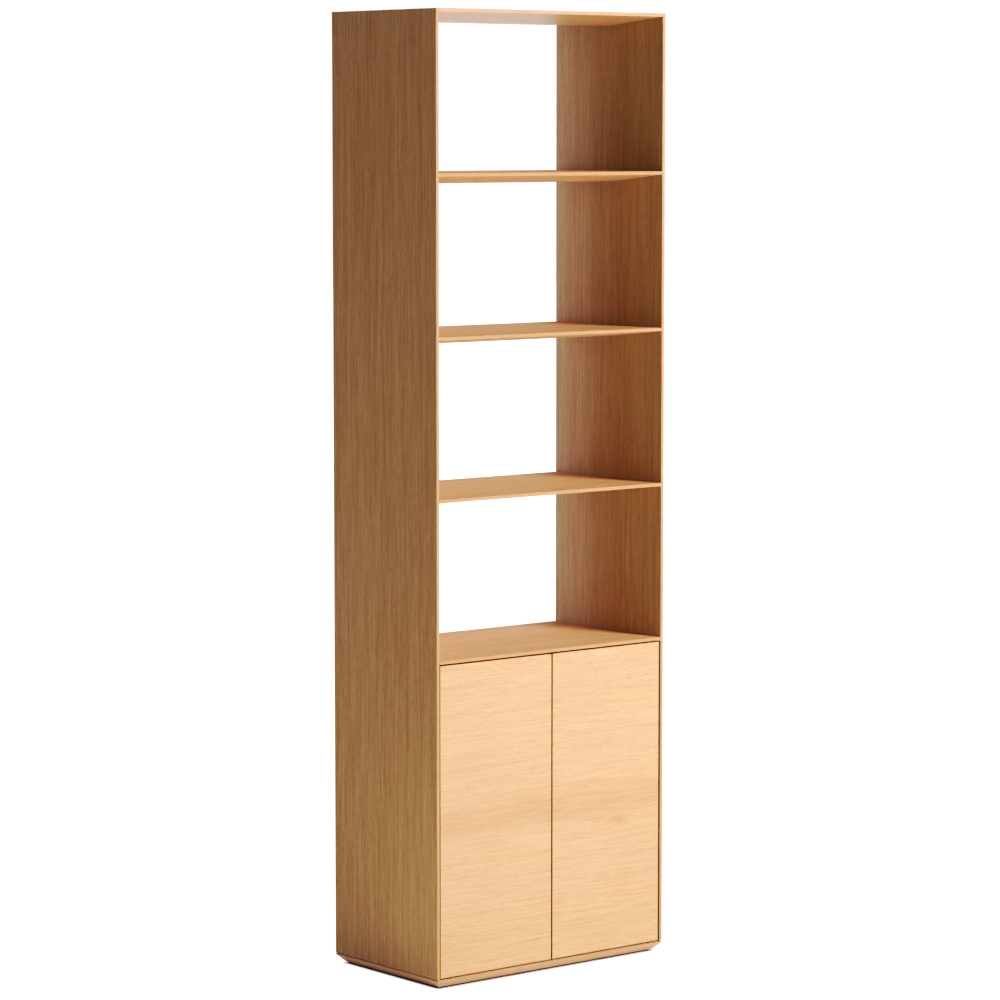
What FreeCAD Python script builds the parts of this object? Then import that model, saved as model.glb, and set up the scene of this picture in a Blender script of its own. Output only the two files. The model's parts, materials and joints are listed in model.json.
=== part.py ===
import FreeCAD, Part
import math
import os

# Bookcase: open bays with tapered shelves above a cabinet with two inset push-to-open doors.
# Millimetres. Origin on the floor at the middle of the footprint, +X right, -Y front, +Z up.

Vector = FreeCAD.Vector
AXIS_X = Vector(1, 0, 0)
AXIS_Y = Vector(0, 1, 0)
AXIS_Z = Vector(0, 0, 1)
LEFT = -1
RIGHT = 1
UP = 1
DOWN = -1
QUARTER_TURN = 90
SIDE_NAMES = {LEFT: "left", RIGHT: "right"}

# Overall sizes
width = 670.0
depth = 380.0
shelf_pitch = 360.0
cabinet_pitches = 2
open_shelf_names = ("lower_shelf", "middle_shelf", "upper_shelf")

# Section of the sides, top and shelves: one flat face, one that rises to a rounded crown
edge_thickness = 7.5
apex_rise = 20.9
crown_radius = 545.0

# Base board
base_thickness = 19.0
base_edge_height = 3.0
base_chamfer_inset = 16.0

# Shadow line where each side's outer face meets the base board
seam_height = 1.5
seam_depth = 2.0

# Feet: low round glides, each with a pin up into the base board
foot_height = 3.5
foot_radius = 8.0
foot_tread_radius = 7.0
foot_setback = 28.0
foot_pin_radius = 1.25
foot_pin_seat = 1.5
foot_pin_grip = 12.0

# Dowels and splines
dowel_radius = 4.0
dowel_in_side = 12.0
dowel_in_shelf = 18.0
dowel_spacing = 64.0
dowel_drop = 11.0
base_dowel_setback = 14.0
dowel_in_base = 9.0
spline_width = 14.0
spline_thickness = 4.0
spline_length = 140.0
spline_setback = 11.0
mitre_angle = 45.0

# Doors and the gaps round them
door_thickness = 18.0
door_recess = 2.0
door_side_gap = 3.0
door_meeting_gap = 3.5
door_top_gap = 3.5
door_bottom_gap = 3.0

# Door pivots
pivot_inset = 28.0
pivot_depth = 8.0
pivot_pin_radius = 3.0
pivot_pin_engagement = 11.0
bush_radius = 4.5
bush_length = 13.0
bush_flange_radius = 6.5
bush_flange_thickness = 0.8
bracket_thickness = 2.0
bracket_arm_radius = 6.5
bracket_flange_setback = 46.0
bracket_flange_length = 36.0
bracket_flange_height = 34.0
bracket_screw_radius = 1.7
bracket_screw_length = 9.0
bracket_screw_head_radius = 3.4
bracket_screw_head_height = 2.0
bracket_screw_margin = 9.0
hinge_pocket_margin = 1.5

# Stop rail and push latches
push_travel = 4.0
rail_thickness = 20.0
rail_height = 30.0
rail_pivot_clearance = 44.0
latch_offset = 48.0
latch_barrel_radius = 5.0
latch_barrel_length = 46.0
latch_flange_radius = 7.5
latch_flange_thickness = 1.5
latch_end_wall = 2.0
plunger_radius = 3.3
plunger_shaft_length = 26.0
plunger_stem_radius = 1.1
plunger_stem_length = 9.0
spring_wire_radius = 0.45
spring_mean_radius = 2.4
spring_turns = 6
strike_radius = 9.0
strike_thickness = 1.0
strike_clearance = 0.3

# Cabinet back and loose shelf
back_thickness = 6.0
back_setback = 25.0
back_groove_depth = 4.0
inner_shelf_height = 352.0
inner_shelf_thickness = 16.0
inner_shelf_front_setback = 54.0
inner_shelf_back_clearance = 2.0
inner_shelf_end_clearance = 1.0
shelf_pin_radius = 2.5
shelf_pin_in_side = 8.0
shelf_pin_reach = 9.0
shelf_pin_front_setback = 84.0
shelf_pin_back_setback = 96.0
shelf_pin_pitch = 32.0
shelf_pin_steps = (-1, 0, 1)

# Fits
running_clearance = 0.06
seat_clearance = 0.1
slide_clearance = 0.3
hole_end_clearance = 0.5
cut_overrun = 5.0

# Places worked out from the sizes above
half_width = width / 2
front_y = -depth / 2
back_y = depth / 2
taper_slope = apex_rise / back_y
taper_angle = math.atan(taper_slope)
crown_half_width = crown_radius * math.sin(taper_angle)
crown_thickness = edge_thickness + apex_rise - crown_radius * (1 / math.cos(taper_angle) - 1)
base_top = foot_height + base_thickness
top_level = cabinet_pitches + len(open_shelf_names) + 1
total_height = base_top + top_level * shelf_pitch
cabinet_top_z = base_top + cabinet_pitches * shelf_pitch
cabinet_lip_z = cabinet_top_z - edge_thickness
door_front_y = front_y + door_recess
door_back_y = door_front_y + door_thickness
door_low_z = base_top + door_bottom_gap
door_high_z = cabinet_lip_z - door_top_gap
pivot_y = door_front_y + pivot_depth
rail_front_y = door_back_y + push_travel
rail_back_y = rail_front_y + rail_thickness
latch_z = cabinet_lip_z - rail_height / 2
bracket_front_y = front_y + bracket_flange_setback
bracket_back_y = bracket_front_y + bracket_flange_length
inner_shelf_z = base_top + inner_shelf_height
shelf_pin_z = inner_shelf_z - inner_shelf_thickness - shelf_pin_radius - seat_clearance
shelf_pin_ys = (front_y + shelf_pin_front_setback, back_y - shelf_pin_back_setback)
dowel_ys = (-dowel_spacing / 2, dowel_spacing / 2)


def thickness_at(y):
    """Thickness of a tapered panel at depth y."""
    if abs(y) >= crown_half_width:
        return edge_thickness + taper_slope * (back_y - abs(y))
    return crown_thickness - crown_radius + math.sqrt(crown_radius ** 2 - y ** 2)


def inner_face(side, y, clearance=0):
    """X of a side panel's inner face at depth y, moved inwards by a clearance."""
    return side * (half_width - thickness_at(y) - clearance)


def prism(points, push):
    """Solid from a closed outline of vectors, pushed along a vector."""
    return Part.Face(Part.makePolygon(points + points[:1])).extrude(push)


def plan_prism(points, low_z, high_z):
    """Solid from an outline of (x, y) points between two heights."""
    return prism([Vector(x, y, low_z) for x, y in points], AXIS_Z * (high_z - low_z))


def crowned_panel(place, push, clearance=0):
    """Tapered panel pushed along a vector; place turns a depth and a thickness into a point."""
    def surface(y):
        return place(y, thickness_at(y) + clearance)

    def line(start, end):
        return Part.LineSegment(start, end).toShape()

    flat_front = place(front_y, 0)
    flat_back = place(back_y, 0)
    crown = Part.Arc(surface(-crown_half_width), surface(0), surface(crown_half_width)).toShape()
    outline = Part.Wire([
        line(flat_front, surface(front_y)), line(surface(front_y), surface(-crown_half_width)), crown,
        line(surface(crown_half_width), surface(back_y)), line(surface(back_y), flat_back),
        line(flat_back, flat_front),
    ])
    return Part.Face(outline).extrude(push)


def box(low, high):
    """Upright box between two corners given in any order."""
    corner = Vector(*[min(a, b) for a, b in zip(low, high)])
    size = [abs(b - a) for a, b in zip(low, high)]
    return Part.makeBox(*size, corner)


def rod(radius, start, end):
    """Round bar between two points."""
    return Part.makeCylinder(radius, (end - start).Length, start, end - start)


def plain_side(side, clearance=0):
    """Side panel before its mitre and holes, grown inwards by a clearance."""
    def place(y, thickness):
        return Vector(side * (half_width - thickness), y, base_top)

    return crowned_panel(place, AXIS_Z * (total_height - base_top), clearance)


def plain_shelf(top_z):
    """Shelf or top from outside to outside, flat above and crowned below."""
    def place(y, thickness):
        return Vector(-half_width, y, top_z - thickness)

    return crowned_panel(place, AXIS_X * width)


def mitre_wedge(side, keep_top):
    """Corner material outside the top panel, or above the side panel, along the mitre."""
    reach = crown_thickness + cut_overrun
    outer = half_width + cut_overrun
    inner = half_width - reach
    high = total_height + cut_overrun
    low = total_height - reach
    third = (outer, low) if keep_top else (inner, high)
    outline = [(outer, high), (inner, low), third]
    points = [Vector(side * x, front_y - cut_overrun, z) for x, z in outline]
    return prism(points, AXIS_Y * (depth + 2 * cut_overrun))


def mitre_spline(side, clearance):
    """Loose tongue square to the mitre, at mid-depth where the panels are thickest."""
    sizes = [size + 2 * clearance for size in (spline_width, spline_length, spline_thickness)]
    tongue = Part.makeBox(*sizes, Vector(*[-size / 2 for size in sizes]))
    tongue.rotate(Vector(), AXIS_Y, side * mitre_angle)
    tongue.translate(Vector(side * (half_width - spline_setback), 0, total_height - spline_setback))
    return tongue


def shelf_dowel(side, y, shelf_top, radial=0, end=0):
    """Level dowel across the joint of a shelf and a side."""
    face = inner_face(side, y)
    z = shelf_top - dowel_drop
    start = Vector(face + side * (dowel_in_side + end), y, z)
    stop = Vector(face - side * (dowel_in_shelf + end), y, z)
    return rod(dowel_radius + radial, start, stop)


def base_dowel(side, y, radial=0, end=0):
    """Upright dowel across the joint of the base and a side."""
    x = side * (half_width - base_dowel_setback)
    start = Vector(x, y, base_top - dowel_in_base - end)
    stop = Vector(x, y, base_top + dowel_in_shelf + end)
    return rod(dowel_radius + radial, start, stop)


def shelf_level(steps):
    """Height of a shelf's top, counted in pitches above the base."""
    return base_top + steps * shelf_pitch


def dowel_levels():
    """Tops of the fixed shelves, from the cabinet top upwards."""
    return [shelf_level(cabinet_pitches + i) for i in range(len(open_shelf_names) + 1)]


def shelf_dowels_at(level, radial=0, end=0):
    """All dowels of one shelf."""
    return [shelf_dowel(side, y, level, radial, end) for side in SIDE_NAMES for y in dowel_ys]


def dowel_holes_at(level):
    """Holes for the dowels of one shelf."""
    return shelf_dowels_at(level, seat_clearance, hole_end_clearance)


def back_panel(clearance):
    """Cabinet back, or its groove when given a clearance."""
    remaining = thickness_at(back_y - back_setback) - back_groove_depth
    reach = half_width - remaining - slide_clearance + clearance
    low_y = back_y - back_setback - back_thickness - clearance
    high_y = back_y - back_setback + clearance
    low_z = base_top - back_groove_depth
    high_z = cabinet_top_z - remaining - slide_clearance + clearance
    return box((-reach, low_y, low_z), (reach, high_y, high_z))


def shelf_pin(side, y, steps, radial=0, end=0):
    """Support pin of the loose shelf, some steps above the one in use."""
    face = inner_face(side, y)
    z = shelf_pin_z + steps * shelf_pin_pitch
    start = Vector(face + side * (shelf_pin_in_side + end), y, z)
    return rod(shelf_pin_radius + radial, start, Vector(face - side * shelf_pin_reach, y, z))


def bracket_screw_places(side):
    """Seat points of a bracket's screws on the side panel, with the direction into the panel."""
    inwards = Vector(side, taper_slope, 0).normalize()
    ys = (bracket_front_y + bracket_screw_margin, bracket_back_y - bracket_screw_margin)
    return [(Vector(inner_face(side, y), y, 0), inwards) for y in ys]


def bracket_screw_z(seat_z, turn):
    """Height of the screws in the bracket that starts at seat_z and runs up or down."""
    return seat_z + turn * (bracket_flange_height + bracket_thickness) / 2


def bracket_screw(place, inwards, z, radial=0):
    """Pan-head screw through a bracket's flange into the side panel."""
    seat = Vector(place.x, place.y, z)
    under_head = seat - inwards * bracket_thickness
    shank = rod(bracket_screw_radius + radial, under_head, seat + inwards * (bracket_screw_length + radial))
    head = rod(bracket_screw_head_radius, under_head - inwards * bracket_screw_head_height, under_head)
    return shank, head


def pivot_x(side):
    """X of a door's pivot axis."""
    hinge_edge = half_width - thickness_at(door_front_y) - door_side_gap
    return side * (hinge_edge - pivot_inset)


def bracket_seats():
    """Seat height, direction and door edge of the lower and the upper pivot brackets."""
    return {"lower": (base_top, UP, door_low_z), "upper": (cabinet_lip_z, DOWN, door_high_z)}


def pivot_bracket(side, seat_z, turn):
    """Cranked bracket: a flange on the side panel and a flat arm that carries the pin."""
    x = pivot_x(side)
    near = x - side * bracket_arm_radius
    far = x + side * bracket_arm_radius
    rows = (bracket_front_y, bracket_back_y)
    face_front, face_back = [inner_face(side, y) for y in rows]
    arm_outline = [
        (near, pivot_y), (near, bracket_back_y), (face_back, bracket_back_y),
        (face_front, bracket_front_y), (far, bracket_front_y), (far, pivot_y),
    ]
    arm_z = seat_z + turn * bracket_thickness
    arm = plan_prism(arm_outline, min(seat_z, arm_z), max(seat_z, arm_z))
    eye = rod(bracket_arm_radius, Vector(x, pivot_y, seat_z), Vector(x, pivot_y, arm_z))
    leaf = -side * bracket_thickness
    flange_outline = [
        (face_front, bracket_front_y), (face_back, bracket_back_y),
        (face_back + leaf, bracket_back_y), (face_front + leaf, bracket_front_y),
    ]
    flange_z = seat_z + turn * bracket_flange_height
    flange = plan_prism(flange_outline, min(seat_z, flange_z), max(seat_z, flange_z))
    screw_z = bracket_screw_z(seat_z, turn)
    holes = [bracket_screw(place, inwards, screw_z, seat_clearance)[0]
             for place, inwards in bracket_screw_places(side)]
    pin_hole = rod(pivot_pin_radius + seat_clearance, Vector(x, pivot_y, seat_z - turn * cut_overrun),
                   Vector(x, pivot_y, arm_z + turn * cut_overrun))
    return arm.fuse([eye, flange]).removeSplitter().cut(holes + [pin_hole])


def pivot_pin(side, seat_z, turn, door_edge):
    """Steel pin from a bracket's arm into the door."""
    x = pivot_x(side)
    return rod(pivot_pin_radius, Vector(x, pivot_y, seat_z),
               Vector(x, pivot_y, door_edge + turn * pivot_pin_engagement))


def pivot_bush(side, turn, door_edge):
    """Flanged bush in a door's end, turning on the pin."""
    x = pivot_x(side)
    mouth = door_edge - turn * bush_flange_thickness
    deep = door_edge + turn * bush_length
    flange = rod(bush_flange_radius, Vector(x, pivot_y, mouth), Vector(x, pivot_y, door_edge))
    barrel = rod(bush_radius, Vector(x, pivot_y, mouth), Vector(x, pivot_y, deep))
    bore = rod(pivot_pin_radius + running_clearance, Vector(x, pivot_y, mouth - turn * cut_overrun),
               Vector(x, pivot_y, deep + turn * cut_overrun))
    return flange.fuse(barrel).removeSplitter().cut(bore)


def bush_hole(side, turn, door_edge):
    """Blind hole for a bush in a door's end."""
    x = pivot_x(side)
    return rod(bush_radius + seat_clearance, Vector(x, pivot_y, door_edge - turn * cut_overrun),
               Vector(x, pivot_y, door_edge + turn * (bush_length + hole_end_clearance)))


def door(side):
    """Inset door, its hinge edge planed parallel to the tapered side."""
    meeting_x = side * door_meeting_gap / 2
    hinge_xs = [inner_face(side, y, door_side_gap) for y in (door_front_y, door_back_y)]
    outline = [
        (meeting_x, door_front_y), (hinge_xs[0], door_front_y),
        (hinge_xs[1], door_back_y), (meeting_x, door_back_y),
    ]
    holes = [bush_hole(side, turn, edge) for _, turn, edge in bracket_seats().values()]
    return plan_prism(outline, door_low_z, door_high_z).cut(holes)


def latch_rod(side, radius, start_y, end_y):
    """Round bar along a latch's axis."""
    x = side * latch_offset
    return rod(radius, Vector(x, start_y, latch_z), Vector(x, end_y, latch_z))


def latch_body(side):
    """Flanged barrel that holds the latch's spring and plunger."""
    mouth_y = rail_front_y - latch_flange_thickness
    end_y = rail_front_y + latch_barrel_length
    flange = latch_rod(side, latch_flange_radius, mouth_y, rail_front_y)
    barrel = latch_rod(side, latch_barrel_radius, mouth_y, end_y)
    bore = latch_rod(side, plunger_radius + slide_clearance, mouth_y - cut_overrun, end_y - latch_end_wall)
    return flange.fuse(barrel).removeSplitter().cut(bore)


def plunger_tip_y():
    """Where a plunger's tip waits, just behind the strike plate."""
    return door_back_y + strike_thickness + strike_clearance


def latch_plunger(side):
    """Plunger with a thin stem inside the spring."""
    shoulder_y = plunger_tip_y() + plunger_shaft_length
    shaft = latch_rod(side, plunger_radius, plunger_tip_y(), shoulder_y)
    stem = latch_rod(side, plunger_stem_radius, shoulder_y, shoulder_y + plunger_stem_length)
    return shaft.fuse(stem).removeSplitter()


def latch_spring(side):
    """Coil spring between the plunger's shoulder and the barrel's end wall."""
    low_y = plunger_tip_y() + plunger_shaft_length
    high_y = rail_front_y + latch_barrel_length - latch_end_wall
    height = high_y - low_y - 2 * (spring_wire_radius + seat_clearance)
    pitch = height / spring_turns
    helix = Part.makeHelix(pitch, height, spring_mean_radius)
    tangent = Vector(0, 2 * math.pi * spring_mean_radius, pitch)
    start = Part.Circle(Vector(spring_mean_radius, 0, 0), tangent, spring_wire_radius)
    coil = Part.Wire(helix).makePipeShell([Part.Wire(start.toShape())], True, False)
    coil.rotate(Vector(), AXIS_X, -QUARTER_TURN)
    coil.translate(Vector(side * latch_offset, low_y + spring_wire_radius + seat_clearance, latch_z))
    return coil


def strike_plate(side):
    """Disc on the back of a door that the latch holds."""
    return latch_rod(side, strike_radius, door_back_y, door_back_y + strike_thickness)


def door_stop_rail():
    """Rail under the cabinet top, short of the doors' hinge ends, bored for the latches."""
    reach = abs(pivot_x(RIGHT)) - rail_pivot_clearance
    rail = box((-reach, rail_front_y, cabinet_lip_z - rail_height), (reach, rail_back_y, cabinet_lip_z))
    bores = [latch_rod(side, latch_barrel_radius + seat_clearance, rail_front_y - cut_overrun,
                       rail_back_y + cut_overrun) for side in SIDE_NAMES]
    return rail.cut(bores)


def seam_groove(side):
    """Shadow line along the foot of a side's outer face."""
    inner_x = side * (half_width - seam_depth)
    outer_x = side * (half_width + cut_overrun)
    return box((inner_x, front_y - cut_overrun, base_top - cut_overrun),
               (outer_x, back_y + cut_overrun, base_top + seam_height))


def side_panel(side):
    """Tall side, flat outside and crowned inside, mitred at the top."""
    holes = [mitre_wedge(side, False), mitre_spline(side, seat_clearance), back_panel(seat_clearance)]
    holes.append(seam_groove(side))
    holes += [shelf_dowel(side, y, level, seat_clearance, hole_end_clearance)
              for level in dowel_levels() for y in dowel_ys]
    holes += [base_dowel(side, y, seat_clearance, hole_end_clearance) for y in dowel_ys]
    holes += [shelf_pin(side, y, steps, seat_clearance, hole_end_clearance)
              for y in shelf_pin_ys for steps in shelf_pin_steps]
    for seat_z, turn, _ in bracket_seats().values():
        z = bracket_screw_z(seat_z, turn)
        holes += [bracket_screw(place, inwards, z, seat_clearance)[0]
                  for place, inwards in bracket_screw_places(side)]
    return plain_side(side).cut(holes)


def top_panel():
    """Top, mitred at both ends."""
    cutters = [mitre_wedge(side, True) for side in SIDE_NAMES]
    cutters += [mitre_spline(side, seat_clearance) for side in SIDE_NAMES]
    return plain_shelf(total_height).cut(cutters)


def between_sides(shape, clearance=0):
    """Part of a shape that lies between the sides' inner faces."""
    return shape.cut([plain_side(side, clearance) for side in SIDE_NAMES])


def open_shelf(level):
    """Fixed shelf between the sides."""
    return between_sides(plain_shelf(level)).cut(dowel_holes_at(level))


def cabinet_top():
    """Shelf over the doors, rebated below for the stop rail and the doors' hinge ends."""
    low_z = cabinet_top_z - crown_thickness - cut_overrun
    rebate = box((-half_width, front_y - cut_overrun, low_z), (half_width, rail_back_y, cabinet_lip_z))
    cutters = dowel_holes_at(cabinet_top_z) + [back_panel(seat_clearance), rebate]
    for side in SIDE_NAMES:
        inner_x = pivot_x(side) - side * (bracket_arm_radius + hinge_pocket_margin)
        pocket_back_y = bracket_back_y + hinge_pocket_margin
        cutters.append(box((inner_x, front_y, low_z), (side * half_width, pocket_back_y, cabinet_lip_z)))
    return between_sides(plain_shelf(cabinet_top_z)).cut(cutters)


def base_board():
    """Cabinet floor that the sides stand on, chamfered below on all four sides."""
    chamfer_z = base_top - base_edge_height
    slab = box((-half_width, front_y, chamfer_z), (half_width, back_y, base_top))
    upper = [Vector(x, y, chamfer_z) for x, y in (
        (-half_width, front_y), (half_width, front_y), (half_width, back_y), (-half_width, back_y))]
    foot_x = half_width - base_chamfer_inset
    foot_y = back_y - base_chamfer_inset
    lower = [Vector(x, y, foot_height) for x, y in (
        (-foot_x, -foot_y), (foot_x, -foot_y), (foot_x, foot_y), (-foot_x, foot_y))]
    rings = [Part.makePolygon(points + points[:1]) for points in (lower, upper)]
    skirt = Part.makeLoft(rings, True, True)
    cutters = [base_dowel(side, y, seat_clearance, hole_end_clearance)
               for side in SIDE_NAMES for y in dowel_ys]
    cutters.append(back_panel(seat_clearance))
    cutters += [foot_pin(place, seat_clearance, hole_end_clearance) for place in foot_places().values()]
    return slab.fuse(skirt).removeSplitter().cut(cutters)


def inner_shelf():
    """Loose shelf in the cabinet, its ends parallel to the sides."""
    low_y = front_y + inner_shelf_front_setback
    high_y = back_y - back_setback - back_thickness - inner_shelf_back_clearance
    low_z = inner_shelf_z - inner_shelf_thickness
    board = box((-half_width, low_y, low_z), (half_width, high_y, inner_shelf_z))
    return between_sides(board, inner_shelf_end_clearance)


def foot_places():
    """Centres of the feet on the floor, by name."""
    x = half_width - foot_setback
    y = back_y - foot_setback
    return {
        SIDE_NAMES[side] + "_" + end + "_foot": Vector(side * x, y * turn, 0)
        for side in SIDE_NAMES for end, turn in (("front", -1), ("back", 1))}


def foot_pin(place, radial=0, end=0):
    """Steel pin from inside a foot up into the base board."""
    tip = place + AXIS_Z * (foot_height + foot_pin_grip + end)
    return rod(foot_pin_radius + radial, place + AXIS_Z * foot_pin_seat, tip)


def foot(place):
    """Low round foot, narrower where it treads, with a blind hole for its pin."""
    body = Part.makeCone(foot_tread_radius, foot_radius, foot_height, place, AXIS_Z)
    return body.cut(foot_pin(place, seat_clearance))


def joined(parts):
    """One solid from overlapping parts."""
    return parts[0].fuse(list(parts[1:])).removeSplitter()


def carcass_pieces():
    """Panels, shelves and the fixings between them."""
    pieces = {
        "top_panel": top_panel(), "cabinet_top": cabinet_top(), "base_board": base_board(),
        "cabinet_back_panel": back_panel(0), "inner_shelf": inner_shelf(),
        "door_stop_rail": door_stop_rail(),
    }
    for side, name in SIDE_NAMES.items():
        pieces[name + "_side_panel"] = side_panel(side)
    for index, name in enumerate(open_shelf_names):
        pieces[name] = open_shelf(shelf_level(cabinet_pitches + 1 + index))
    pieces["mitre_splines"] = Part.makeCompound([mitre_spline(side, 0) for side in SIDE_NAMES])
    pieces["shelf_dowels"] = Part.makeCompound(
        [dowel for level in dowel_levels() for dowel in shelf_dowels_at(level)])
    pieces["base_dowels"] = Part.makeCompound(
        [base_dowel(side, y) for side in SIDE_NAMES for y in dowel_ys])
    pieces["inner_shelf_pins"] = Part.makeCompound(
        [shelf_pin(side, y, 0) for side in SIDE_NAMES for y in shelf_pin_ys])
    return pieces


def door_pieces():
    """Doors with their pivots, brackets and latches."""
    pieces = {}
    pins = []
    screws = []
    for side, name in SIDE_NAMES.items():
        pieces[name + "_door"] = door(side)
        pieces[name + "_strike_plate"] = strike_plate(side)
        pieces[name + "_latch_body"] = latch_body(side)
        pieces[name + "_latch_plunger"] = latch_plunger(side)
        pieces[name + "_latch_spring"] = latch_spring(side)
        seats = bracket_seats()
        pieces[name + "_pivot_bushes"] = Part.makeCompound(
            [pivot_bush(side, turn, edge) for _, turn, edge in seats.values()])
        for end, (seat_z, turn, edge) in seats.items():
            pieces[name + "_" + end + "_pivot_bracket"] = pivot_bracket(side, seat_z, turn)
            pins.append(pivot_pin(side, seat_z, turn, edge))
            z = bracket_screw_z(seat_z, turn)
            screws += [joined(bracket_screw(place, inwards, z))
                       for place, inwards in bracket_screw_places(side)]
    pieces["pivot_pins"] = Part.makeCompound(pins)
    pieces["pivot_bracket_screws"] = Part.makeCompound(screws)
    return pieces


def foot_pieces():
    """Feet and their pins."""
    places = foot_places()
    pieces = {name: foot(place) for name, place in places.items()}
    pieces["foot_pins"] = Part.makeCompound([foot_pin(place) for place in places.values()])
    return pieces


os.makedirs("parts", exist_ok=True)
for node, shape in {**carcass_pieces(), **door_pieces(), **foot_pieces()}.items():
    shape.exportStep("parts/" + node + ".step")
    print(node, len(shape.Solids), "solids", round(shape.Volume), "mm3", shape.isValid())
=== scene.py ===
"""Looks of the bookcase: oak veneers with solid lippings, hardware finishes, floor, lights and camera."""

import json
import math

import bpy
from mathutils import Euler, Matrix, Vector


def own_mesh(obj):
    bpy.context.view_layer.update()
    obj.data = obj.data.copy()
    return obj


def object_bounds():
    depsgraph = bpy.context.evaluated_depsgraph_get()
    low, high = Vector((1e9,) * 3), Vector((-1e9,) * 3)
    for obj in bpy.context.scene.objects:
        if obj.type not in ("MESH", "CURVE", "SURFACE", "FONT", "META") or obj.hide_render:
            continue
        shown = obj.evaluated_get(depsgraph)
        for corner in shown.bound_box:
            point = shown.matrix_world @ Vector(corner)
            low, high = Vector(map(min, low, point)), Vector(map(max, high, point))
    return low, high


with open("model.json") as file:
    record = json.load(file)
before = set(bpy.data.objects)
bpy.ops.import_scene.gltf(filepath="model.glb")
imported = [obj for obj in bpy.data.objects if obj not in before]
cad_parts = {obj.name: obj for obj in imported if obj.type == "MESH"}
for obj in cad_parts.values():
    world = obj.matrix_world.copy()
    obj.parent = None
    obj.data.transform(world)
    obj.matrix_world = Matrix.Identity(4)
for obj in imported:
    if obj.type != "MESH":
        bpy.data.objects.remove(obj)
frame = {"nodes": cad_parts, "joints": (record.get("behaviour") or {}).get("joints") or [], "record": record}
cad_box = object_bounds()
cad_low, cad_high = cad_box
height = cad_high.z - cad_low.z

# Camera, in metres, degrees and millimetres
CAMERA_PLACE = (-5.505, -6.752, 1.9205)
CAMERA_YAW = 39.193
CAMERA_PITCH = 5.585
SENSOR_MM = 36.0
LENS_MM = 136.8

# Stage: the floor is coloured dark brown under the base, painted shade for the gap beneath it, and white a
# short way out from there
FLOOR_SIZE = 60.0
FLOOR_ALBEDO = (0.9, 0.895, 0.89, 1)
FLOOR_PAINTED_SHADE = (0.36, 0.28, 0.24, 1)
FLOOR_ROUGHNESS = 0.9
FLOOR_SHADE_INSET = 0.02
FLOOR_FADE = (0.0, 0.022)
FLOOR_GLOW = 2.0

# Studio: white backdrop, and lobes of light with their axis and strength
BACKDROP = 1.4
STUDIO_LOBES = (((-0.6, 0.8, 0.0), 0.465), ((0.6, 0.8, 0.0), 1.5))
LOBE_POWER = 2.0

# Lights, in metres, watts and degrees: place, aim, size, power, beam and tint
MIDDLE = (0, 0, height / 2)
WHITE = (1, 1, 1)
LIGHTS = {
    "top": ((0, 0, height + 0.8), MIDDLE, (0.6, 0.34), 1.3, 90, WHITE),
    "key": ((1.5, -4.7, 2.6), MIDDLE, (1.3, 1.5), 372, 180, WHITE),
    "side": ((-4.0, -0.6, 1.3), MIDDLE, (0.8, 2.2), 5.5, 180, WHITE),
    "fill": ((-1.0, -0.5, 0.02), (-1.0, -0.5, 1.0), (1.0, 1.0), 1.8, 180, WHITE),
    "strip": ((-0.75, 0.45, 1.45), (0.31, 0.26, 1.45), (0.15, 1.5), 0.56, 28, (0.95, 0.91, 1.95)),
}

# Film response: light in and out, from deep shade to the white that just clips
FILM_WHITE = 1.26
FILM_CURVE = ((0.0734, 0.0357), (0.147, 0.1), (0.238, 0.227), (0.354, 0.366), (0.708, 0.639), (1.15, 0.93))

# Edges
ARRIS = 0.0006
ARRIS_SEGMENTS = 2
ARRIS_ANGLE = math.radians(30)
WELD_DISTANCE = 0.00002


def colour(red, green, blue):
    """Linear colour with alpha from three screen values out of 255."""
    def linear(value):
        share = value / 255
        return share / 12.92 if share <= 0.04045 else ((share + 0.055) / 1.055) ** 2.4
    return (linear(red), linear(green), linear(blue), 1)


# Oak tones: dark and light of the grain, then the pores. Each board's tones are matched to how that board
# shows under these lights, so the boards are partly lit and shaded copies of one oak: painted light and
# shade
LEFT_OAK = (colour(180, 136, 86), colour(219, 181, 138), colour(131, 90, 51))
# Painted shade: the right side's inner face has a darker, less red copy of the oak than its outer face
RIGHT_INNER_PAINTED_SHADE = (colour(165, 137, 83), colour(195, 174, 128), colour(125, 89, 50))
SHELF_OAK = (colour(212, 158, 115), colour(249, 197, 156), colour(150, 104, 68))
CABINET_OAK = (colour(211, 159, 117), colour(249, 198, 158), colour(152, 106, 70))
TOP_OAK = (colour(194, 147, 100), colour(230, 183, 135), colour(141, 98, 62))
BACK_OAK = (colour(198, 150, 104), colour(232, 190, 144), colour(146, 102, 64))
BASE_OAK = (colour(202, 154, 115), colour(236, 194, 158), colour(146, 102, 68))
DOOR_OAK = (colour(204, 152, 108), colour(220, 184, 136), colour(180, 104, 66))
# Painted shade: the doors' edges are a darker brown, for the shade in the gaps between and around the doors
DOOR_EDGE_PAINTED_SHADE = (colour(136, 86, 56), colour(162, 110, 74), colour(110, 68, 44))
LIPPING_OAK = (colour(184, 135, 94), colour(207, 157, 114), colour(146, 98, 62))
# Stop rail behind the doors' top gap: a dark stain that is also painted shade for the gap
RAIL_STAIN_AND_GAP_SHADE = (colour(70, 48, 34), colour(92, 66, 47), colour(50, 34, 24))

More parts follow.
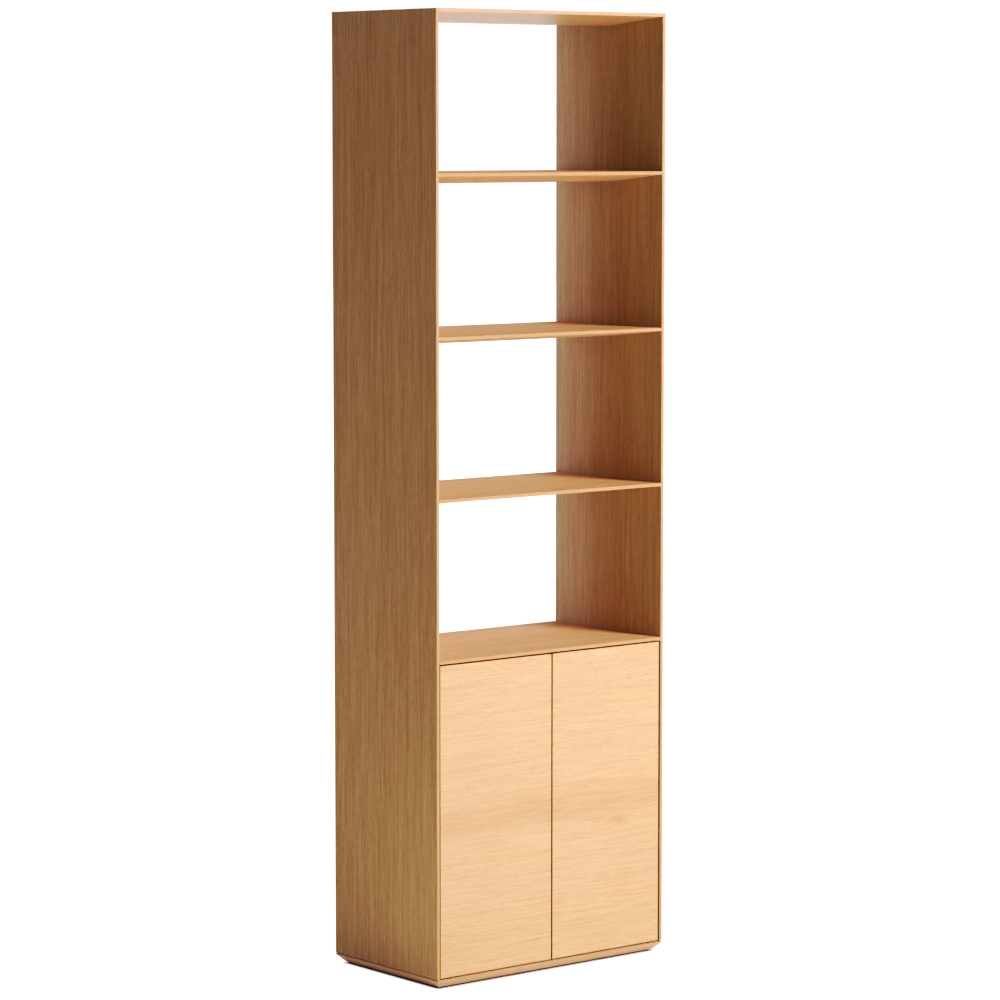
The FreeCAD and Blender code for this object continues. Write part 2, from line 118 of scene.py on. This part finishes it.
# Grain layers: features per metre across and along the grain, and their share of the tone
SIDE_GRAIN = ((12, 0.4, 0.14), (75, 1.2, 0.13), (260, 5.0, 0.47), (340, 40.0, 0.26))
SHELF_GRAIN = ((10, 0.6, 0.12), (80, 6.0, 0.20), (170, 12.0, 0.20), (340, 6.0, 0.28), (480, 34.0, 0.20))
FINE_GRAIN = ((10, 0.6, 0.14), (90, 2.0, 0.16), (340, 6.0, 0.44), (480, 34.0, 0.26))
DOOR_GRAIN = ((9, 1.4, 0.10), (70, 2.2, 0.06), (470, 8.0, 0.54), (560, 40.0, 0.30))
GRAIN_LEVELS = (0.3, 0.7)
NOISE_ROUGHNESS = 0.6

# Pores: features per metre across and along the grain, levels of noise they start and fill at, share, depth
PORES = (500, 80)
PORE_LEVELS = (0.62, 0.72)
PORE_SHARE = 0.3
PORE_DEPTH = 0.6

# Relief of grain and pores together, with its height in metres
BUMP_STRENGTH = 0.25
BUMP_DISTANCE = 0.0002

# Share of a face's normal at which it starts to count, and fully counts, as front or back, or as right. Door
# edges and the right side's inner face, which count as neither, take darker tones: painted shade
FRONT_FACING = (0.8, 0.9)
RIGHT_FACING = (0.5, 0.6)

# Step in the grain from one board to the next, so that no two look alike
BOARD_STEP = (1.3, 2.7, 0.9)

# Mottle of the hardware finishes
FLECK_DETAIL = 3.0

# Broad change of hue: features per metre across and along the grain, and the reddest tint it gives
SIDE_CAST = (24, 1.4, (1.012, 0.984, 0.974, 1))
DOOR_CAST = (24, 1.4, (1.03, 0.98, 0.945, 1))

# Sheen: refractive index, then roughness of dark and light grain with the specular level
OAK_IOR = 1.45
SATIN = (0.62, 0.54, 0.3)
SHELF_SATIN = (0.8, 0.72, 0.2)
TOP_SATIN = (0.48, 0.42, 0.46)

# Wander of the grain: turns per metre across and along it, and its reach in metres
SIDE_DRIFT = (5.0, 1.6, 0.012)
SHELF_DRIFT = (6.0, 1.6, 0.005)
DOOR_DRIFT = (6.0, 1.6, 0.005)

# Marks in the doors' veneer: place, reach, how far the grain bends, how dark the mark is
EVERYWHERE = 50.0
DOOR_MARKS = (
    ((0.0, 0.0, 0.360), (EVERYWHERE, EVERYWHERE, 0.026), 0.0, 0.14),
    ((0.0, 0.0, 0.393), (EVERYWHERE, EVERYWHERE, 0.034), 0.0, 0.14),
    ((0.146, 0.0, 0.318), (0.045, EVERYWHERE, 0.018), 0.013, 0.0),
    ((0.200, 0.0, 0.328), (0.028, EVERYWHERE, 0.011), -0.009, 0.36),
    ((0.287, 0.0, 0.660), (0.005, EVERYWHERE, 0.0016), 0.0, 0.55),
    ((-0.008, 0.0, 0.339), (0.003, EVERYWHERE, 0.0022), 0.0, 0.6),
)


def add(tree, kind, inputs=None, **settings):
    """New shader node with its settings, and a value or a link on each named input."""
    node = tree.nodes.new("ShaderNode" + kind)
    for name, value in settings.items():
        setattr(node, name, value)
    for key, value in (inputs or {}).items():
        if isinstance(value, bpy.types.NodeSocket):
            tree.links.new(value, node.inputs[key])
        else:
            node.inputs[key].default_value = value
    return node


def number(tree, operation, *values):
    """Result of a math node on values or sockets."""
    return add(tree, "Math", dict(enumerate(values)), operation=operation).outputs[0]


def vector(tree, operation, *values):
    """Vector, or number, that a vector math node gives."""
    node = add(tree, "VectorMath", dict(enumerate(values)), operation=operation)
    return node.outputs["Value" if operation in ("DOT_PRODUCT", "LENGTH") else "Vector"]


def new_material(name):
    """Empty node material with its output and one principled shader."""
    material = bpy.data.materials.new(name)
    material.use_nodes = True
    tree = material.node_tree
    tree.nodes.clear()
    shader = add(tree, "BsdfPrincipled")
    add(tree, "OutputMaterial", {"Surface": shader.outputs["BSDF"]})
    return material, tree, shader


def on_axes(grain, across, along):
    """One value on the grain's axis and another on the other two."""
    return tuple(along if axis == grain else across for axis in "xyz")


def noise(tree, place, frequency, detail=2.0, output="Fac"):
    """Noise on a place, with its features per metre on each axis."""
    scaled = vector(tree, "MULTIPLY", place, frequency)
    node = add(tree, "TexNoise", {"Vector": scaled, "Scale": 1.0, "Detail": detail,
                                  "Roughness": NOISE_ROUGHNESS})
    return node.outputs[output]


def spread(tree, value, low, high):
    """Smooth rise from 0 to 1 between two levels of a value."""
    return add(tree, "MapRange", {"Value": value, "From Min": low, "From Max": high},
               interpolation_type="SMOOTHSTEP").outputs["Result"]


def mixed(tree, factor, first, second, blend="MIX"):
    """Colour between two colours or sockets."""
    node = add(tree, "Mix", data_type="RGBA", blend_type=blend)
    for index, value in ((0, factor), (6, first), (7, second)):
        if isinstance(value, bpy.types.NodeSocket):
            tree.links.new(value, node.inputs[index])
        else:
            node.inputs[index].default_value = value
    return node.outputs[2]


def near(tree, place, centre, reach):
    """1 at a centre, falling to nothing over a reach on each axis."""
    share = vector(tree, "DIVIDE", vector(tree, "SUBTRACT", place, centre), reach)
    square = vector(tree, "DOT_PRODUCT", share, share)
    return number(tree, "EXPONENT", number(tree, "MULTIPLY", square, -1.0))


def oak(name, grain, sides, fronts, shift, layers, drift, hue=SIDE_CAST, marks=(), right=None, sheen=SATIN):
    """Oak with its grain along an axis, and other tones where it faces front or back, or right if given."""
    material, tree, shader = new_material(name)
    place = add(tree, "TexCoord").outputs["Object"]
    apart = vector(tree, "ADD", place, shift)

    across, along, reach = drift
    wander = noise(tree, apart, on_axes(grain, across, along), 1.0, "Color")
    wander = vector(tree, "SUBTRACT", wander, (0.5, 0.5, 0.5))
    fibres = vector(tree, "MULTIPLY_ADD", wander, on_axes(grain, reach, 0.0), apart)
    shade = 0.0
    for centre, size, bend, dark in marks:
        mark = near(tree, place, centre, size)
        if bend:
            lift = add(tree, "CombineXYZ", {"Z": number(tree, "MULTIPLY", mark, bend)}).outputs[0]
            fibres = vector(tree, "ADD", fibres, lift)
        if dark:
            shade = number(tree, "MULTIPLY_ADD", mark, dark, shade)

    tone = 0.0
    for layer_across, layer_along, weight in layers:
        lines = noise(tree, fibres, on_axes(grain, layer_across, layer_along))
        tone = number(tree, "MULTIPLY_ADD", spread(tree, lines, *GRAIN_LEVELS), weight, tone)
    pores = spread(tree, noise(tree, fibres, on_axes(grain, *PORES), 1.0), *PORE_LEVELS)

    facing = add(tree, "SeparateXYZ", {0: add(tree, "TexCoord").outputs["Normal"]}).outputs
    # Faces that turn front or back; the rest, such as the doors' edges, take the other tones, on the doors
    # painted shade for the gaps
    front = spread(tree, number(tree, "ABSOLUTE", facing["Y"]), *FRONT_FACING)
    # Faces that turn right keep the given tones; the others take the board's own, on the right side a darker
    # copy that is painted shade
    if right:
        turned = spread(tree, facing["X"], *RIGHT_FACING)
        sides = [mixed(tree, turned, a, b) for a, b in zip(sides, right)]
    dark_wood, light_wood, pore_wood = (mixed(tree, front, a, b) for a, b in zip(sides, fronts))
    base = mixed(tree, tone, dark_wood, light_wood)
    hue_across, hue_along, tint = hue
    cast = spread(tree, noise(tree, fibres, on_axes(grain, hue_across, hue_along)), *GRAIN_LEVELS)
    base = mixed(tree, 1.0, base, mixed(tree, cast, (1, 1, 1, 1), tint), "MULTIPLY")
    if marks:
        base = mixed(tree, shade, base, pore_wood)
    base = mixed(tree, number(tree, "MULTIPLY", pores, PORE_SHARE), base, pore_wood)
    tree.links.new(base, shader.inputs["Base Color"])

    rough_dark, rough_light, specular = sheen
    rough = add(tree, "MapRange", {"Value": tone, "To Min": rough_dark, "To Max": rough_light})
    tree.links.new(rough.outputs["Result"], shader.inputs["Roughness"])
    relief = number(tree, "MULTIPLY_ADD", pores, -PORE_DEPTH, tone)
    bump = add(tree, "Bump", {"Strength": BUMP_STRENGTH, "Distance": BUMP_DISTANCE, "Height": relief})
    tree.links.new(bump.outputs["Normal"], shader.inputs["Normal"])
    shader.inputs["IOR"].default_value = OAK_IOR
    shader.inputs["Specular IOR Level"].default_value = specular
    return material


def plain(name, light, dark, frequency, roughness, metallic=0.0):
    """Finish with a soft mottle between two tones, for the hardware."""
    material, tree, shader = new_material(name)
    place = add(tree, "TexCoord").outputs["Object"]
    fleck = noise(tree, place, (frequency, frequency, frequency), FLECK_DETAIL)
    tree.links.new(mixed(tree, fleck, dark, light), shader.inputs["Base Color"])
    low, high = roughness
    rough = add(tree, "MapRange", {"Value": fleck, "To Min": low, "To Max": high})
    tree.links.new(rough.outputs["Result"], shader.inputs["Roughness"])
    shader.inputs["Metallic"].default_value = metallic
    return material


def finish_nodes():
    """A procedural finish on every node."""
    finishes = {
        "left_side_panel": oak("oak_left_side", "z", LEFT_OAK, LIPPING_OAK,
                               (0.0, 3.1, 0.7), SIDE_GRAIN, SIDE_DRIFT),
        "right_side_panel": oak("oak_right_side", "z", RIGHT_INNER_PAINTED_SHADE, LIPPING_OAK,
                                # The inner face gets the darker copy, painted shade; the outer face gets the
                                # left side's tones
                                (5.3, 1.7, 9.2), SIDE_GRAIN, SIDE_DRIFT, right=LEFT_OAK),
        "base_board": oak("oak_base", "x", BASE_OAK, LIPPING_OAK, (2.9, 8.4, 1.6), FINE_GRAIN, SHELF_DRIFT),
    }
    shelf = (SHELF_OAK, LIPPING_OAK, SHELF_GRAIN, SHELF_SATIN)
    boards = {
        "top_panel": (TOP_OAK, LIPPING_OAK, FINE_GRAIN, TOP_SATIN),
        "upper_shelf": shelf,
        "middle_shelf": shelf,
        "lower_shelf": shelf,
        "cabinet_top": (CABINET_OAK, LIPPING_OAK, SHELF_GRAIN, SHELF_SATIN),
        "inner_shelf": shelf,
        "cabinet_back_panel": (BACK_OAK, BACK_OAK, FINE_GRAIN, SATIN),
    }
    for index, (board, (faces, fronts, layers, sheen)) in enumerate(boards.items()):
        shift = tuple(step * index for step in BOARD_STEP)
        finishes[board] = oak("oak_" + board, "x", faces, fronts, shift, layers, SHELF_DRIFT, sheen=sheen)
    slot_finishes = {
        # The doors' edges take the darker tone, painted shade in the gaps
        "oak_door": oak("oak_doors", "x", DOOR_EDGE_PAINTED_SHADE, DOOR_OAK,
                        (0.4, 6.1, 2.2), DOOR_GRAIN, DOOR_DRIFT, DOOR_CAST, DOOR_MARKS),
        # The stop rail's dark stain, partly painted shade for the gap in front of it
        "dark_oak": oak("oak_stop_rail", "x", RAIL_STAIN_AND_GAP_SHADE, RAIL_STAIN_AND_GAP_SHADE,
                        (7.7, 0.2, 4.1), FINE_GRAIN, SHELF_DRIFT),
        "beech": plain("beech", colour(222, 188, 148), colour(200, 160, 118), 60, (0.55, 0.7)),
        "steel": plain("steel", colour(196, 197, 199), colour(160, 161, 164), 220, (0.28, 0.42), 1.0),
        "black_steel": plain("black_steel", colour(44, 41, 39), colour(32, 30, 29), 220, (0.6, 0.75)),
        "nylon": plain("nylon", colour(160, 160, 162), colour(146, 146, 149), 400, (0.4, 0.55)),
        "black_nylon": plain("black_nylon", colour(52, 48, 45), colour(38, 35, 33), 400, (0.55, 0.7)),
        "foot_plastic": plain("foot_plastic", colour(46, 44, 43), colour(30, 29, 28), 300, (0.5, 0.7)),
    }
    slots = {row["node"]: row["material_slot"] for row in frame["record"]["subparts"]}
    for name, node in frame["nodes"].items():
        node.data.materials.clear()
        node.data.materials.append(finishes[name] if name in finishes else slot_finishes[slots[name]])


def ease_springs():
    """Gives each latch spring a mesh of its own, for it to shorten towards its end wall as its plunger is
    pressed in.
    """
    for joint in frame["joints"]:
        for part in joint.get("deforming_nodes", ()):
            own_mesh(frame["nodes"][part["node"]])


def soften_edges():
    """Small arris on the panels, so that edges and joints catch the light."""
    for name, node in frame["nodes"].items():
        if name.endswith(("_panel", "_shelf", "_door", "cabinet_top", "base_board")):
            weld = node.modifiers.new("weld", "WELD")
            weld.merge_threshold = WELD_DISTANCE
            bevel = node.modifiers.new("arris", "BEVEL")
            bevel.width = ARRIS
            bevel.segments = ARRIS_SEGMENTS
            bevel.limit_method = "ANGLE"
            bevel.angle_limit = ARRIS_ANGLE
            bevel.use_clamp_overlap = False
            bevel.harden_normals = False
            node.modifiers.new("normals", "WEIGHTED_NORMAL").keep_sharp = True


def make_floor():
    """Plain pale floor, with painted shade under the base from a dark brown colour, and as white as the
    backdrop away from it.
    """
    half = FLOOR_SIZE / 2
    mesh = bpy.data.meshes.new("floor")
    corners = ((-half, -half), (half, -half), (half, half), (-half, half))
    mesh.from_pydata([(x, y, cad_low.z) for x, y in corners], [], [(0, 1, 2, 3)])
    floor = bpy.data.objects.new("floor", mesh)
    bpy.context.scene.collection.objects.link(floor)
    material, tree, shader = new_material("floor")
    shader.inputs["Roughness"].default_value = FLOOR_ROUGHNESS
    covered = (cad_high.x - FLOOR_SHADE_INSET, cad_high.y - FLOOR_SHADE_INSET, 0)
    place = vector(tree, "ABSOLUTE", add(tree, "TexCoord").outputs["Object"])
    outside = vector(tree, "MAXIMUM", vector(tree, "SUBTRACT", place, covered), (0, 0, 0))
    clear = spread(tree, vector(tree, "LENGTH", outside), *FLOOR_FADE)
    # Painted shade: dark brown base colour under the base, fading out to the pale floor
    tree.links.new(mixed(tree, clear, FLOOR_PAINTED_SHADE, FLOOR_ALBEDO), shader.inputs["Base Color"])
    path = add(tree, "LightPath").outputs
    seen = number(tree, "MAXIMUM", path["Is Camera Ray"], path["Is Glossy Ray"])
    share = number(tree, "MULTIPLY", clear, seen)
    white = add(tree, "Emission", {"Strength": FLOOR_GLOW}).outputs[0]
    both = add(tree, "MixShader", {0: share, 1: shader.outputs[0], 2: white}).outputs[0]
    add(tree, "OutputMaterial", {"Surface": both}).is_active_output = True
    mesh.materials.append(material)


def make_world():
    """Soft light from behind on both sides, with a white backdrop."""
    world = bpy.data.worlds.new("studio")
    world.use_nodes = True
    tree = world.node_tree
    tree.nodes.clear()
    direction = add(tree, "TexCoord").outputs["Generated"]
    level = 0.0
    for axis, strength in STUDIO_LOBES:
        ahead = number(tree, "MAXIMUM", vector(tree, "DOT_PRODUCT", direction, axis), 0.0)
        level = number(tree, "MULTIPLY_ADD", number(tree, "POWER", ahead, LOBE_POWER), strength, level)
    seen = add(tree, "LightPath").outputs["Is Camera Ray"]
    shown = add(tree, "Mix", {0: seen, 2: level, 3: BACKDROP}, data_type="FLOAT").outputs[0]
    shade = add(tree, "Background", {"Color": (1, 1, 1, 1), "Strength": shown})
    add(tree, "OutputWorld", {"Surface": shade.outputs[0]})
    bpy.context.scene.world = world


def area_light(name, place, aim, size, watts, angle, tint):
    """Soft box at a place, facing a point, with its beam held to an angle."""
    data = bpy.data.lights.new(name, "AREA")
    data.shape = "RECTANGLE"
    data.size, data.size_y = size
    data.energy = watts
    data.color = tint
    data.spread = math.radians(angle)
    lamp = bpy.data.objects.new(name, data)
    lamp.location = place
    lamp.rotation_mode = "QUATERNION"
    lamp.rotation_quaternion = (Vector(aim) - Vector(place)).to_track_quat("-Z", "Y")
    lamp.visible_camera = False
    bpy.context.scene.collection.objects.link(lamp)


def make_lights():
    """Key from the front right, side light and low fill on the left, cool strip behind, light on the top."""
    for name, values in LIGHTS.items():
        area_light(name, *values)


def make_camera():
    """Camera at the photograph's angle."""
    data = bpy.data.cameras.new("camera")
    data.sensor_width = SENSOR_MM
    data.lens = LENS_MM
    camera = bpy.data.objects.new("camera", data)
    camera.location = CAMERA_PLACE
    camera.rotation_euler = Euler((math.radians(90 - CAMERA_PITCH), 0, math.radians(-CAMERA_YAW)))
    bpy.context.scene.collection.objects.link(camera)
    bpy.context.scene.camera = camera


def set_film():
    """Plain colours with the contrast of a printed photograph."""
    view = bpy.context.scene.view_settings
    view.view_transform = "Standard"
    view.use_curve_mapping = True
    mapping = view.curve_mapping
    mapping.white_level = [FILM_WHITE] * 3
    for light, shown in FILM_CURVE:
        mapping.curves[3].points.new(light / FILM_WHITE, shown)
    mapping.update()


finish_nodes()
ease_springs()
soften_edges()
make_floor()
make_world()
make_lights()
make_camera()
set_film()

bpy.context.view_layer.update()
